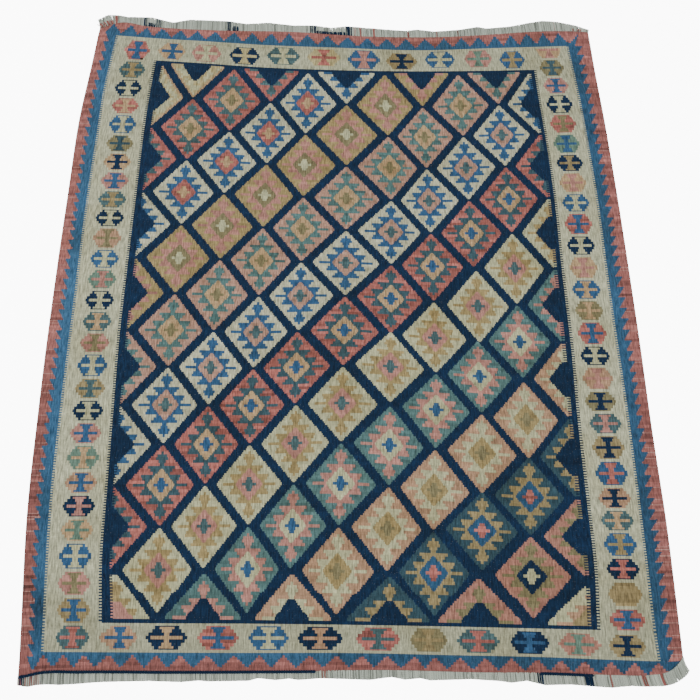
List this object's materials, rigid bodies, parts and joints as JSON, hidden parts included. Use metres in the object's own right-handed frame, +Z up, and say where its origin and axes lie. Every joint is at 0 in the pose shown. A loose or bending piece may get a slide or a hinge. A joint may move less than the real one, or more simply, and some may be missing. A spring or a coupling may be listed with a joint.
{
  "type": "kilim rug",
  "caption": "Flat-woven rug lying open: a thin rectangular cloth with uneven edges, a short warp fringe at both ends and twined yarn along one end.",
  "frame": {"origin": "centre of the underside of the rug's box, fringes included", "axes": "+X across the rug to the right, +Y along the warps from the near end to the far end, +Z up from the floor"},
  "size_m": [1.5512, 1.8908, 0.0036],
  "materials": {
    "woven_wool": "matte weft-faced wool",
    "warp_yarn": "matte undyed yarn",
    "navy_yarn": "matte dyed wool yarn"
  },
  "bodies": {
    "root": {"kilim_cloth": "woven_wool", "fringe_near": "warp_yarn", "fringe_far": "warp_yarn", "end_cord_long": "navy_yarn", "end_cord_short": "navy_yarn"}
  },
  "joints": []
}
